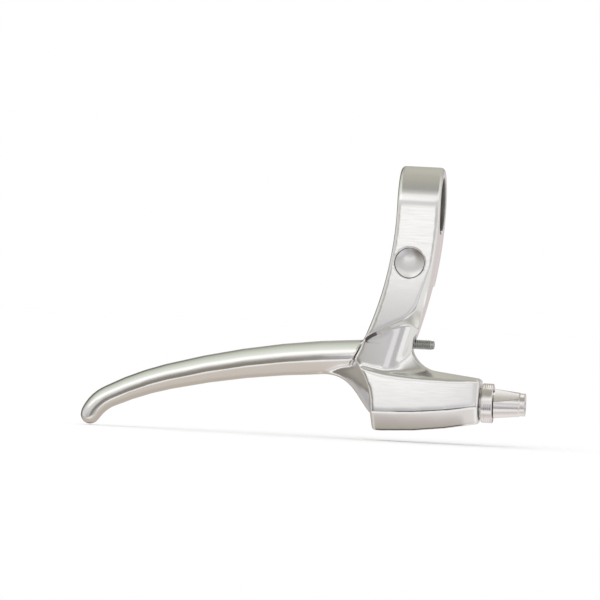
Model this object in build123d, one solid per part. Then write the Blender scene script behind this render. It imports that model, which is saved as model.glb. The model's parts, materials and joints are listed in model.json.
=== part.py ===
from build123d import *
from math import cos, radians, sin, sqrt, tan
import os

# Handlebar clamp: the bar runs along X through the origin, Y points away from the rider's front
bar_diameter = 22.2
clamp_wall = 4.2
clamp_width = 17.2
clamp_edge_bevel = 1.0
split_gap = 1.4
split_offset = 4.0
split_exit_slope = 25.0
tongue_reach = 6.5
tongue_lean = 4.0

# Arm below the clamp, seen from the front: two wide arcs, and a flat front that leans back
arm_left_radius = 143.0
arm_right_radius = 184.0
arm_lean = 3.5

# Where the flat front ends: heights below the bar, and insets from the arm's right edge
shield_start_drop = 14.0
shield_start_overrun = 1.0
shield_knee_drop = 44.1
shield_knee_inset = 3.1
shield_knee_round = 12.0
shield_end_drop = 54.4
shield_end_overrun = 1.5
shield_rim_depth = 8.0
shield_rim_slope = 40.0

# Neck: bar with rounded right corners between the arm and the hood, measured at the pivot
neck_depth = 21.0
neck_round = 10.0
neck_side_overrun = 0.4

# Clamp bolt and its round nut
clamp_bolt_x = -2.5
clamp_bolt_drop = 23.5
clamp_bolt_diameter = 5.0
clamp_bolt_head_diameter = 8.5
clamp_bolt_head_height = 5.0
clamp_bolt_key = 4.0
clamp_washer_diameter = 10.0
clamp_washer_thickness = 1.0
clamp_seat_depth = 2.6
clamp_nut_diameter = 11.8
clamp_nut_length = 7.0
clamp_nut_face = 2.0
clamp_nut_edge = 0.6
clamp_nut_sink = 0.4

# Pivot of the blade, with its axis along Y
pivot_x = -10.0
pivot_drop = 47.5
pivot_pin_diameter = 6.0
pivot_thread_diameter = 5.0
pivot_thread_length = 4.4
pivot_head_diameter = 9.6
pivot_head_height = 2.6
pivot_key = 3.0
pivot_washer_diameter = 11.0
pivot_washer_thickness = 0.8
pivot_seat_depth = 0.7
pivot_boss_diameter = 12.4
bush_wall = 1.0
bush_side_play = 0.12
bush_hold = 2.3

# Root plate of the blade and the slot that it turns in
root_thickness = 8.0
slot_clearance = 0.35
slot_round_clearance = 0.8
slot_corner = 1.0
slot_floor_corner = 2.0
spring_pocket_depth = 2.6

# Torsion spring round the rear bush; the coil is a chain of short straight runs of six-sided wire
spring_wire = 0.9
spring_turns = 2
spring_runs_per_turn = 16
spring_pitch = 0.95
spring_bush_gap = 0.35
spring_lever_leg = 9.5
spring_start_angle = -30.0
spring_hook_depth = 4.0

# Hood: the cable housing below the neck, with heights and depths measured from the cable's line
cable_drop = 77.8
hood_end_x = 27.5
hood_left_x = -15.1
hood_half_depth_left = 10.5
hood_half_depth_right = 9.2
hood_bottom_half_left = 5.0
hood_bottom_half_right = 4.6
hood_ridge_half = 3.6
hood_ridge_height = 9.6
hood_ridge_slope = 0.115
hood_web_radius = 12.0
hood_web_x = -1.2
hood_web_flank_reach = 4.0
hood_web_flank_depth = 7.0
hood_crease_height = 9.2
hood_crease_sag = 0.7
hood_crease_rise = 1.1
hood_lower_crease_depth = 1.2
hood_lower_crease_fall = 4.2
hood_bottom_depth = 8.4
hood_bottom_fall = 4.8
hood_end_round = 1.1
hood_steps = 4
hood_end_steps = 3
mouth_top_drop = 63.2
mouth_bottom_depth = 6.2
mouth_bottom_step = 0.6
mouth_bow = 2.4
mouth_corner = 1.6

# Cable adjuster: threaded barrel with a locknut
adjuster_thread_diameter = 10.0
adjuster_thread_depth = 14.0
adjuster_shank_gap = 1.0
adjuster_cone_diameter = 11.9
adjuster_tip_diameter = 9.8
adjuster_cone_length = 10.2
adjuster_collar_diameter = 9.3
adjuster_collar_length = 2.3
adjuster_flat_reach = 4.8
adjuster_flat_angle = 43.0
adjuster_flats = 2
housing_diameter = 6.1
housing_depth = 9.0
cable_hole_diameter = 2.6
cable_slot = 2.2
locknut_diameter = 15.8
locknut_width = 5.3

# Reach screw, which the root plate rests against
reach_boss_gap = 0.1
reach_screw_diameter = 4.0
reach_screw_length = 15.4
reach_screw_key = 2.0
reach_screw_edge = 0.4
reach_pad_x = -7.6
reach_pad_half = 3.0
reach_wall_gap = 1.5

# Blade: a spine of three tangent arcs from the shoulder on, given by how far each one runs and turns
blade_start_drop = 62.3
blade_start_slope = 2.3
blade_runs = (75.9, 25.5, 10.6)
blade_turns = (13.0, 11.9, 38.0)
blade_steps = (4, 3, 5)
blade_height_root = 14.2
blade_height_tip = 9.0
blade_depth_root = 12.4
blade_depth_tip = 9.2
blade_side_tuck = 18.0
blade_belly_lean = 36.0
ball_diameter = 8.2
ball_turns = (30.0, 60.0, 84.0)
shoulder_gap = 0.6
shoulder_height = 5.1
shoulder_belly = 2.0
boss_web_angle = 40.0
fan_run = 13.0
fan_lap = 1.0
fan_foot_angle = 51.0
fan_blend_share = 0.96
fan_thin_x = -22.0
fan_thin_drop = 72.0
fan_thin_heading = 37.0
fan_thin_slope = 14.0

# Cable nipple seat at the lower end of the root plate
anchor_x = -11.5
anchor_end_radius = 8.0
nipple_diameter = 7.4

# Clearances shared by the pieces that fit into each other
running_clearance = 0.04
thread_clearance = 0.05
free_clearance = 0.3
stop_clearance = 0.1
socket_depth_share = 0.5
edge_match = 0.02

# Values that follow from the sizes above
bar_radius = bar_diameter / 2
clamp_radius = bar_radius + clamp_wall
neck_half = neck_depth / 2
root_half = root_thickness / 2
slot_half = root_half + slot_clearance
bush_radius = pivot_pin_diameter / 2 + running_clearance + bush_wall
boss_radius = pivot_boss_diameter / 2
slot_round = boss_radius + slot_round_clearance
reach_drop = pivot_drop + boss_radius + reach_screw_diameter / 2 + reach_boss_gap
split_elbow_drop = clamp_bolt_drop + tongue_reach
split_middle = split_offset + split_gap / 2
stem_bottom = cable_drop
mid_pocket = root_half - spring_pocket_depth
outside = 4 * clamp_radius
pivot_seat_y = neck_half - pivot_seat_depth
bush_joint_y = mid_pocket - bush_hold
locknut_end_x = hood_end_x + locknut_width
hook_length = slot_round - bush_radius + spring_hook_depth


def arm_left(drop):
    return -clamp_width / 2 - (arm_left_radius - sqrt(arm_left_radius**2 - drop**2))


def arm_right(drop):
    return clamp_width / 2 - (arm_right_radius - sqrt(arm_right_radius**2 - drop**2))


def arm_front(drop):
    lean = radians(arm_lean)
    return -(clamp_radius - drop * sin(lean)) / cos(lean)


def tongue_rear(drop):
    lean = radians(tongue_lean)
    return (clamp_radius - drop * sin(lean)) / cos(lean)


nut_face_y = arm_front(clamp_bolt_drop) + clamp_nut_sink
nut_seat_y = nut_face_y + clamp_nut_length
washer_seat_y = tongue_rear(clamp_bolt_drop) - clamp_seat_depth
bolt_head_y = washer_seat_y + clamp_washer_thickness


def across(face, half=outside):
    """Extrude a front view (X, Z) equally to both sides of the middle plane."""
    return extrude(Plane.XZ * face, amount=half, both=True)


def pin_y(x, drop, radius, y_from, y_to):
    """Round bar along Y."""
    place = Plane(origin=(x, y_from, -drop), x_dir=(1, 0, 0), z_dir=(0, 1, 0))
    return extrude(place * Circle(radius), amount=y_to - y_from)


def pin_x(radius, x_from, x_to, drop):
    """Round bar along X in the middle plane."""
    place = Plane(origin=(x_from, 0, -drop), x_dir=(0, 1, 0), z_dir=(1, 0, 0))
    return extrude(place * Circle(radius), amount=x_to - x_from)


def turned_y(x, drop, profile):
    """Revolve a profile of (radius, y) points about an axis along Y."""
    place = Plane(origin=(x, 0, -drop), x_dir=(1, 0, 0), z_dir=(0, 0, 1))
    return revolve(place * make_face(Polyline(*profile, close=True)), axis=Axis((x, 0, -drop), (0, 1, 0)))


def turned_x(drop, profile):
    """Revolve a profile of (x, radius) points about an axis along X."""
    place = Plane(origin=(0, 0, -drop), x_dir=(1, 0, 0), z_dir=(0, -1, 0))
    return revolve(place * make_face(Polyline(*profile, close=True)), axis=Axis((0, 0, -drop), (1, 0, 0)))


def hex_key(width, place, depth):
    """Hexagonal key hole, sunk from the given plane against its normal."""
    return extrude(place * RegularPolygon(width / sqrt(3), 6), amount=-depth)


def arm_outline():
    """Front view of the clamp and arm, down to the cable's height."""
    half = clamp_width / 2
    top = clamp_radius + clamp_wall
    low = stem_bottom
    left = ThreePointArc((-half, 0), (arm_left(low / 2), -low / 2), (arm_left(low), -low))
    right = ThreePointArc((arm_right(low), -low), (arm_right(low / 2), -low / 2), (half, 0))
    rest = Polyline((half, 0), (half, top), (-half, top), (-half, 0))
    return make_face([left, Line(left @ 1, right @ 0), right, rest])


def arm_side():
    """Side view of the clamp: the ring, the arm in front, the tongue behind and the split between them."""
    front = radians(arm_lean)
    rear = radians(tongue_lean)
    body = Polygon(
        (0, 0),
        (-clamp_radius * cos(front), -clamp_radius * sin(front)),
        (arm_front(stem_bottom), -stem_bottom),
        (tongue_rear(stem_bottom), -stem_bottom),
        (clamp_radius * cos(rear), -clamp_radius * sin(rear)),
        align=None,
    )
    split = Pos(split_middle, -split_elbow_drop / 2) * Rectangle(split_gap, split_elbow_drop)
    way_out = Pos(split_middle, -split_elbow_drop) * Rot(0, 0, -split_exit_slope)
    split_exit = way_out * Pos(clamp_radius - split_gap / 2, 0) * Rectangle(2 * clamp_radius, split_gap)
    return Circle(clamp_radius) + body - split - split_exit - Circle(bar_radius)


def shield_relief():
    """Front view of what lies outside the flat front of the arm."""
    start = (arm_right(shield_start_drop) + shield_start_overrun, -shield_start_drop)
    end = (arm_left(shield_end_drop) - shield_end_overrun, -shield_end_drop)
    floor = -stem_bottom - clamp_radius
    line = FilletPolyline(
        start,
        (arm_right(shield_knee_drop) - shield_knee_inset, -shield_knee_drop),
        end,
        (-outside, end[1]),
        (-outside, floor),
        (outside, floor),
        (outside, start[1]),
        radius=[0, shield_knee_round, 0, 0, 0, 0, 0],
        close=True,
    )
    return make_face(line)


def neck_form():
    """Bar along the arm's right side, with a flat front that leans as the arm's does and a round corner."""
    slope = pivot_drop / sqrt(arm_right_radius**2 - pivot_drop**2)
    lean = sin(radians(arm_lean)) / cos(radians(arm_lean))
    corner = (arm_right(pivot_drop) + neck_side_overrun, -neck_half, -pivot_drop)
    place = Plane(origin=corner, x_dir=(1, 0, -slope), z_dir=(-slope, lean, -1))
    line = FilletPolyline(
        (0, 0),
        (-outside, 0),
        (-outside, -outside),
        (0, -outside),
        radius=[neck_round, 0, 0, 0],
        close=True,
    )
    return extrude(place * make_face(line), amount=outside, both=True)


def hood_ridge(x):
    """Height of the hood's top, which rises in a straight line towards the neck."""
    return -cable_drop + hood_ridge_height + hood_ridge_slope * (hood_end_x - x)


def hood_section(x, inset=0):
    """Cross-section of the hood at x: ridge, front and rear faces, slanted lower faces, narrow bottom."""
    share = (hood_end_x - x) / (hood_end_x - hood_left_x)
    eased = 1 - (1 - share) ** 2
    ridge = hood_ridge(x) - inset
    sag = 4 * hood_crease_sag * share * (1 - share)
    crease = -cable_drop + hood_crease_height - sag + hood_crease_rise * share**4 - inset / 2
    lower = -cable_drop - hood_lower_crease_depth - hood_lower_crease_fall * eased + inset / 2
    bottom = -cable_drop - hood_bottom_depth - hood_bottom_fall * eased + inset
    half = hood_half_depth_right + (hood_half_depth_left - hood_half_depth_right) * share - inset
    foot = hood_bottom_half_right + (hood_bottom_half_left - hood_bottom_half_right) * share - inset / 2
    place = Plane(origin=(x, 0, 0), x_dir=(0, 1, 0), z_dir=(1, 0, 0))
    line = Polyline(
        (-hood_ridge_half, ridge),
        (-half, crease),
        (-half, lower),
        (-foot, bottom),
        (foot, bottom),
        (half, lower),
        (half, crease),
        (hood_ridge_half, ridge),
        close=True,
    )
    return place * make_face(line)


def hood_form():
    """Cable hood: a ridged bar that tapers towards the adjuster, with a rounded end."""
    start = arm_left(mouth_top_drop)
    shoulder = hood_end_x - hood_end_round
    length = shoulder - start
    sections = [hood_section(start + length * step / hood_steps) for step in range(hood_steps + 1)]
    for step in range(hood_end_steps):
        turn = radians(90 * (step + 1) / hood_end_steps)
        reach = hood_end_round * sin(turn)
        inset = hood_end_round * (1 - cos(turn))
        sections.append(hood_section(shoulder + reach, inset))
    return loft(sections, ruled=True)


def web_form():
    """Hollow quarter turn from the neck's right side down onto the hood's ridge, with slanted flanks."""
    centre_x = hood_web_x + hood_web_radius
    centre_z = hood_ridge(centre_x) + hood_web_radius
    half = hood_ridge_half + hood_web_flank_reach
    deep = hood_web_radius + hood_web_flank_depth
    root = deep + hood_web_flank_depth
    profile = [
        (-hood_web_radius, -hood_ridge_half),
        (-hood_web_radius, hood_ridge_half),
        (-deep, half),
        (-root, half),
        (-root, -half),
        (-deep, -half),
    ]
    place = Plane(origin=(centre_x, 0, centre_z), x_dir=(1, 0, 0), z_dir=(0, 0, 1))
    axis = Axis((centre_x, 0, centre_z), (0, -1, 0))
    return revolve(place * make_face(Polyline(*profile, close=True)), axis=axis, revolution_arc=90)


def mouth_cut():
    """Front view of what is cleared away left of the hood, where the blade's root comes out."""
    tip = (arm_left(mouth_top_drop), -mouth_top_drop)
    foot = (hood_left_x - mouth_bottom_step, -cable_drop - mouth_bottom_depth)
    middle = ((tip[0] + foot[0]) / 2 + mouth_bow, (tip[1] + foot[1]) / 2)
    bow = ThreePointArc(tip, middle, foot)
    bottom = -cable_drop - hood_bottom_depth - hood_bottom_fall
    corner_side = (hood_left_x, bottom + mouth_corner)
    corner_foot = (hood_left_x + mouth_corner, bottom)
    corner = RadiusArc(corner_side, corner_foot, -mouth_corner)
    floor = -stem_bottom - clamp_radius
    rest = Polyline(corner_foot, (corner_foot[0], floor), (-outside, floor), (-outside, tip[1]), tip)
    return make_face([bow, Line(foot, corner_side), corner, rest])


def slot_outline():
    """Front view of the slot: round above the pivot, open to the left, roomy in the hood."""
    wall = reach_pad_x + reach_wall_gap
    right = anchor_x + anchor_end_radius + reach_wall_gap
    floor = -cable_drop - anchor_end_radius - slot_round_clearance
    top = -pivot_drop + slot_round
    side = FilletPolyline(
        (-outside, top),
        (pivot_x, top),
        (pivot_x, -pivot_drop),
        (wall, -reach_drop),
        (wall, -reach_drop - 2 * reach_screw_diameter),
        (right, -cable_drop + anchor_end_radius),
        (right, floor),
        (-outside, floor),
        radius=[0, 0, 0, 0, slot_corner, slot_corner, slot_floor_corner, 0],
        close=True,
    )
    return make_face(side) + Pos(pivot_x, -pivot_drop) * Circle(slot_round)


def bracket():
    arm = extrude(Plane.YZ * arm_side(), amount=outside, both=True) & across(arm_outline())
    rims = []
    for edge in arm.edges():
        middle = edge @ 0.5
        drop = max(-middle.Z, 0)
        at_side = min(abs(middle.X - arm_left(drop)), abs(middle.X - arm_right(drop))) < edge_match
        ring = abs(sqrt(middle.Y**2 + middle.Z**2) - clamp_radius) < edge_match
        front = middle.Z < 0 and abs(middle.Y - arm_front(drop)) < edge_match
        rear = middle.Z < 0 and abs(middle.Y - tongue_rear(drop)) < edge_match
        if at_side and (ring or front or rear):
            rims.append(edge)
    arm = chamfer(rims, clamp_edge_bevel)
    neck = neck_form()
    lean = radians(arm_lean)
    front = Plane(origin=(0, arm_front(0), 0), x_dir=(1, 0, 0), z_dir=(0, -cos(lean), -sin(lean)))
    relief = extrude(front * shield_relief(), amount=-shield_rim_depth, taper=shield_rim_slope) - neck
    split_way = Pos(0, split_middle, -split_elbow_drop) * Rot(-split_exit_slope, 0, 0)
    rear_box = split_way * Pos(0, outside / 2, -outside / 2) * Box(2 * outside, outside, outside)
    rear_relief = rear_box - mirror(neck, about=Plane.XZ)
    body = arm - relief - rear_relief + hood_form() + web_form()
    body = body - across(mouth_cut()) - across(slot_outline(), slot_half)
    body = body - clamp_bolt_holes() - pivot_holes() - reach_hole() - adjuster_hole() - spring_hole()
    return body


def clamp_bolt_holes():
    """Round nut seat in front, bolt hole, and the flat seat for the washer behind."""
    x = clamp_bolt_x
    drop = clamp_bolt_drop
    seat = pin_y(x, drop, clamp_nut_diameter / 2 + free_clearance / 2, -outside, nut_seat_y)
    shank = pin_y(x, drop, clamp_bolt_diameter / 2 + free_clearance, nut_seat_y, outside)
    washer = pin_y(x, drop, clamp_washer_diameter / 2 + free_clearance, washer_seat_y, outside)
    return seat + shank + washer


def pivot_holes():
    """Flat seat and shoulder hole behind, blind thread in the front wall."""
    x = pivot_x
    drop = pivot_drop
    seat = pin_y(x, drop, pivot_washer_diameter / 2 + free_clearance, pivot_seat_y, outside)
    shoulder = pin_y(x, drop, pivot_pin_diameter / 2 + running_clearance, 0, pivot_seat_y)
    thread_end = -slot_half - pivot_thread_length - free_clearance
    thread = pin_y(x, drop, pivot_thread_diameter / 2 + thread_clearance, thread_end, 0)
    return seat + shoulder + thread


def reach_hole():
    return pin_x(reach_screw_diameter / 2 + thread_clearance, reach_pad_x, outside, reach_drop)


def adjuster_hole():
    """Thread for the barrel, the cable's way to the slot, and the slit that lets the cable in."""
    inner = hood_end_x - adjuster_thread_depth
    thread = pin_x(adjuster_thread_diameter / 2 + thread_clearance, inner, outside, cable_drop)
    cable = pin_x(cable_slot, anchor_x, inner, cable_drop)
    slit_centre = ((anchor_x + outside) / 2, 0, -cable_drop - outside / 2)
    slit = Pos(*slit_centre) * Box(outside - anchor_x, cable_slot, outside)
    return thread + cable + slit


def spring_path():
    """Coil round the rear bush, as short straight runs."""
    radius = bush_radius + spring_bush_gap + spring_wire / 2
    start_y = mid_pocket + free_clearance / 3 + spring_wire / 2
    points = []
    for run in range(spring_turns * spring_runs_per_turn + 1):
        angle = radians(spring_start_angle + 360 / spring_runs_per_turn * run)
        y = start_y + spring_pitch / spring_runs_per_turn * run
        points.append((pivot_x + radius * cos(angle), y, -pivot_drop + radius * sin(angle)))
    return points


def spring_leg_way(end):
    """Direction of a straight leg, square to the coil's radius at its start (0) or end (-1)."""
    angle = radians(spring_start_angle)
    sense = 1 if end else -1
    return Vector(-sin(angle) * sense, 0, cos(angle) * sense)


def spring_hole():
    """Drilled seat for the spring's hooked leg."""
    place = Plane(origin=spring_path()[-1], z_dir=spring_leg_way(-1))
    radius = spring_wire / 2 + free_clearance / 2
    return extrude(place * Circle(radius), amount=slot_round + spring_hook_depth)


def clamp_nut():
    """Round nut with a bevelled front and a blind thread."""
    head = clamp_nut_diameter / 2
    bore = clamp_bolt_diameter / 2 + thread_clearance
    bore_end = nut_face_y + clamp_nut_face
    profile = [
        (0, nut_face_y),
        (head - clamp_nut_edge, nut_face_y),
        (head, nut_face_y + clamp_nut_edge),
        (head, nut_seat_y),
        (bore, nut_seat_y),
        (bore, bore_end),
        (0, bore_end),
    ]
    return turned_y(clamp_bolt_x, clamp_bolt_drop, profile)


def clamp_washer():
    inner = clamp_bolt_diameter / 2 + free_clearance
    ring = pin_y(clamp_bolt_x, clamp_bolt_drop, clamp_washer_diameter / 2, washer_seat_y, bolt_head_y)
    return ring - pin_y(clamp_bolt_x, clamp_bolt_drop, inner, -outside, outside)


def clamp_bolt():
    """Socket head bolt that draws the tongue towards the nut."""
    shank = clamp_bolt_diameter / 2
    head = clamp_bolt_head_diameter / 2
    top = bolt_head_y + clamp_bolt_head_height
    tip = nut_face_y + clamp_nut_face + free_clearance
    profile = [
        (0, tip),
        (shank, tip),
        (shank, bolt_head_y),
        (head, bolt_head_y),
        (head, top),
        (0, top),
    ]
    place = Plane(origin=(clamp_bolt_x, top, -clamp_bolt_drop), x_dir=(1, 0, 0), z_dir=(0, 1, 0))
    key = hex_key(clamp_bolt_key, place, clamp_bolt_head_height * socket_depth_share)
    return turned_y(clamp_bolt_x, clamp_bolt_drop, profile) - key


def pivot_bolt():
    """Shouldered bolt with a flat head, threaded into the front wall."""
    pin = pivot_pin_diameter / 2
    thread = pivot_thread_diameter / 2
    head = pivot_head_diameter / 2
    seat = pivot_seat_y + pivot_washer_thickness
    top = seat + pivot_head_height
    tip = -slot_half - pivot_thread_length
    profile = [
        (0, tip),
        (thread, tip),
        (thread, -slot_half),
        (pin, -slot_half),
        (pin, seat),
        (head, seat),
        (head, top),
        (0, top),
    ]
    place = Plane(origin=(pivot_x, top, -pivot_drop), x_dir=(1, 0, 0), z_dir=(0, 1, 0))
    key = hex_key(pivot_key, place, pivot_head_height * socket_depth_share)
    return turned_y(pivot_x, pivot_drop, profile) - key


def pivot_washer():
    inner = pivot_pin_diameter / 2 + free_clearance / 2
    top = pivot_seat_y + pivot_washer_thickness
    ring = pin_y(pivot_x, pivot_drop, pivot_washer_diameter / 2, pivot_seat_y, top)
    return ring - pin_y(pivot_x, pivot_drop, inner, -outside, outside)


def pivot_bush(y_from, y_to):
    """Plain bearing sleeve on the pivot."""
    bore = pivot_pin_diameter / 2 + running_clearance
    sleeve = pin_y(pivot_x, pivot_drop, bush_radius, y_from, y_to)
    return sleeve - pin_y(pivot_x, pivot_drop, bore, y_from, y_to)


def pivot_bush_front():
    return pivot_bush(-slot_half + bush_side_play, bush_joint_y - bush_side_play)


def pivot_bush_rear():
    """The rear sleeve reaches further, and carries the coil of the return spring."""
    return pivot_bush(bush_joint_y, slot_half - bush_side_play)


def return_spring():
    """Coil with a straight leg towards the blade and a straight leg hooked into the bracket."""
    coil = [Vector(*point) for point in spring_path()]
    lever_end = coil[0] + spring_leg_way(0) * spring_lever_leg
    hook_end = coil[-1] + spring_leg_way(-1) * hook_length
    path = Polyline(lever_end, *coil, hook_end)
    place = Plane(origin=path @ 0, x_dir=(0, 1, 0), z_dir=path % 0)
    wire = RegularPolygon(spring_wire / 2, 6)
    return sweep(place * wire, path=path, transition=Transition.RIGHT)


def reach_screw():
    """Headless screw with a key hole in its outer end."""
    radius = reach_screw_diameter / 2
    tip = reach_pad_x + stop_clearance
    end = tip + reach_screw_length
    edge = reach_screw_edge
    profile = [(tip, 0), (tip, radius), (end - edge, radius), (end, radius - edge), (end, 0)]
    place = Plane(origin=(end, 0, -reach_drop), x_dir=(0, 1, 0), z_dir=(1, 0, 0))
    key = hex_key(reach_screw_key, place, reach_screw_diameter * socket_depth_share)
    return turned_x(reach_drop, profile) - key


def cable_slit(x_from, x_to):
    """Slit from the cable's line out through the bottom."""
    depth = adjuster_cone_diameter + locknut_diameter
    return Pos((x_from + x_to) / 2, 0, -cable_drop - depth / 2) * Box(x_to - x_from, cable_slot, depth)


def adjuster_barrel():
    """Threaded shank, tapered body with finger flats, and a collar that takes the cable's outer."""
    shank = adjuster_thread_diameter / 2
    collar = adjuster_collar_diameter / 2
    start = hood_end_x - adjuster_thread_depth + adjuster_shank_gap
    cone = locknut_end_x + free_clearance
    neck = cone + adjuster_cone_length
    end = neck + adjuster_collar_length
    profile = [
        (start, 0),
        (start, shank),
        (cone, shank),
        (cone, adjuster_cone_diameter / 2),
        (neck, adjuster_tip_diameter / 2),
        (neck, collar),
        (end, collar),
        (end, 0),
    ]
    body = turned_x(cable_drop, profile)
    flat_size = 2 * adjuster_cone_diameter
    block = Pos(0, 0, adjuster_flat_reach + flat_size / 2) * Box(adjuster_cone_length, flat_size, flat_size)
    for count in range(adjuster_flats):
        turn = adjuster_flat_angle + 360 / adjuster_flats * count
        body = body - Pos((cone + neck) / 2, 0, -cable_drop) * Rot(90 - turn, 0, 0) * block
    body = body - pin_x(housing_diameter / 2, end - housing_depth, end, cable_drop)
    body = body - pin_x(cable_hole_diameter / 2, start, end, cable_drop)
    return body - cable_slit(start, end)


def adjuster_locknut():
    """Turned ring nut that bears on the end of the hood."""
    bore = adjuster_thread_diameter / 2 + thread_clearance
    ring = pin_x(locknut_diameter / 2, hood_end_x, locknut_end_x, cable_drop)
    hole = pin_x(bore, hood_end_x, locknut_end_x, cable_drop)
    return ring - hole - cable_slit(hood_end_x, locknut_end_x)


def blade_spine(run):
    """Place and slope on the blade's centre line, run millimetres from its start."""
    x = arm_left(blade_start_drop) - shoulder_gap
    z = -blade_start_drop
    slope = radians(blade_start_slope)
    left = run
    for length, turn in zip(blade_runs, blade_turns):
        part = min(left, length)
        bend = radians(turn) / length
        new_slope = slope + bend * part
        x = x - (sin(new_slope) - sin(slope)) / bend
        z = z - (cos(slope) - cos(new_slope)) / bend
        slope = new_slope
        left = left - part
    return x, z, slope


def blade_profile(half, side):
    """Cross-section of the blade: round back, a crease on each side, slanted belly with a round bottom."""
    tuck = radians(blade_side_tuck)
    lean = tan(radians(blade_belly_lean))
    bottom_rise = tan(radians(90 - blade_belly_lean) / 2)
    crease_x = side * cos(tuck)
    crease_z = half - side - side * sin(tuck)
    bottom_x = (crease_x - (crease_z + half) * lean) / (1 - bottom_rise * lean)
    bottom_z = -half + bottom_x * bottom_rise
    back = ThreePointArc((crease_x, crease_z), (0, half), (-crease_x, crease_z))
    under = ThreePointArc((-bottom_x, bottom_z), (0, -half), (bottom_x, bottom_z))
    return make_face([back, Line(back @ 1, under @ 0), under, Line(under @ 1, back @ 0)])


def blade_section(run):
    """Cross-section in its place, run millimetres from the blade's start."""
    bar = blade_runs[0] + blade_runs[1]
    share = min(1, run / bar)
    roundness = max(0, (run - bar) / blade_runs[2]) ** 2
    height = blade_height_root + (blade_height_tip - blade_height_root) * share
    depth = blade_depth_root + (blade_depth_tip - blade_depth_root) * share
    half = (height + (ball_diameter - height) * roundness) / 2
    side = (depth + (ball_diameter - depth) * roundness) / 2
    x, z, slope = blade_spine(run)
    place = Plane(origin=(x, 0, z), x_dir=(0, -1, 0), z_dir=(-cos(slope), 0, -sin(slope)))
    return place * blade_profile(half, side)


def ball_section(turn):
    """Round section of the ball end, turn degrees past its middle."""
    x, z, slope = blade_spine(sum(blade_runs))
    reach = ball_diameter / 2 * sin(radians(turn))
    radius = ball_diameter / 2 * cos(radians(turn))
    origin = (x - reach * cos(slope), 0, z - reach * sin(slope))
    place = Plane(origin=origin, x_dir=(0, -1, 0), z_dir=(-cos(slope), 0, -sin(slope)))
    return place * blade_profile(radius, radius)


def shoulder_cut():
    """Front view of what lies right of the blade's shoulder, along the bracket's left edge."""
    def edge(drop):
        return (arm_left(drop) - shoulder_gap, -drop)

    low = cable_drop
    bow = ThreePointArc(edge(0), edge(low / 2), edge(low))
    rest = Polyline(edge(low), (outside, -low), (outside, 0), edge(0))
    return make_face([bow, rest])


def belly_cut():
    """Front view of the hollow under the shoulder, where only the root plate goes on."""
    x, z = blade_spine(fan_run)[:2]
    inner = (arm_left(mouth_top_drop) - shoulder_gap, -blade_start_drop - shoulder_belly)
    floor = -cable_drop - clamp_radius
    start = (x + 2 * fan_lap, z - blade_height_root / 2)
    corners = [start, inner, (outside, inner[1]), (outside, floor), (start[0], floor)]
    return make_face(Polyline(*corners, close=True))


def blade_bar():
    """The finger blade, from its slanted shoulder beside the bracket to its ball end."""
    stations = [fan_run]
    rest = (blade_runs[0] - fan_run, blade_runs[1], blade_runs[2])
    for length, steps in zip(rest, blade_steps):
        begin = stations[-1]
        stations += [begin + length * (step + 1) / steps for step in range(steps)]
    sections = [blade_section(run) for run in stations]
    sections += [ball_section(turn) for turn in ball_turns]
    start = extrude(sections[0], amount=-2 * fan_run)
    return loft(sections, ruled=True) + (start - across(shoulder_cut()) - across(belly_cut()))


def root_outline():
    """Front view of the root plate: pivot boss, shoulder web, fan and the cable end."""
    foot_angle = radians(fan_foot_angle)
    foot_x = anchor_x - anchor_end_radius * sin(foot_angle)
    foot = (foot_x, -cable_drop - anchor_end_radius * cos(foot_angle))
    x, z = blade_spine(fan_run)[:2]
    share = fan_run / (blade_runs[0] + blade_runs[1])
    height = blade_height_root + (blade_height_tip - blade_height_root) * share
    outer = (x + fan_lap, z - height / 2 * fan_blend_share)
    fan = Spline(foot, outer, tangents=[(-cos(foot_angle), sin(foot_angle)), (-1, 0)])
    web_angle = radians(boss_web_angle)
    boss_left = (pivot_x - boss_radius * cos(web_angle), -pivot_drop + boss_radius * sin(web_angle))
    shoulder_x = arm_left(reach_drop) - shoulder_gap - clamp_edge_bevel
    rest = Polyline(
        outer,
        (outer[0], z),
        (shoulder_x, -blade_start_drop + shoulder_height),
        boss_left,
        (pivot_x + boss_radius, -pivot_drop),
        (reach_pad_x, -reach_drop + reach_pad_half),
        (reach_pad_x, -reach_drop - reach_pad_half),
        (anchor_x + anchor_end_radius, -cable_drop),
        foot,
    )
    plate = make_face([fan, rest])
    boss = Pos(pivot_x, -pivot_drop) * Circle(boss_radius)
    return plate + boss + Pos(anchor_x, -cable_drop) * Circle(anchor_end_radius)


def fan_thinning():
    """What is taken off the front of the root plate, which gets thinner towards the fan's lower edge."""
    heading = radians(fan_thin_heading)
    slope = radians(fan_thin_slope)
    place = Plane(
        origin=(fan_thin_x, -root_half, -fan_thin_drop),
        x_dir=(cos(heading), 0, -sin(heading)),
        z_dir=(-sin(slope) * sin(heading), -cos(slope), -sin(slope) * cos(heading)),
    )
    return extrude(place * Rectangle(outside, outside), amount=root_thickness)


def spring_leg_groove():
    """Groove in the rear of the root plate for the spring's straight leg."""
    place = Plane(origin=spring_path()[0], x_dir=(0, 1, 0), z_dir=spring_leg_way(0))
    width = spring_wire + 2 * free_clearance
    opening = Pos(outside / 2 - width / 2, 0) * Rectangle(outside, width)
    return extrude(place * opening, amount=spring_lever_leg + free_clearance)


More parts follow.
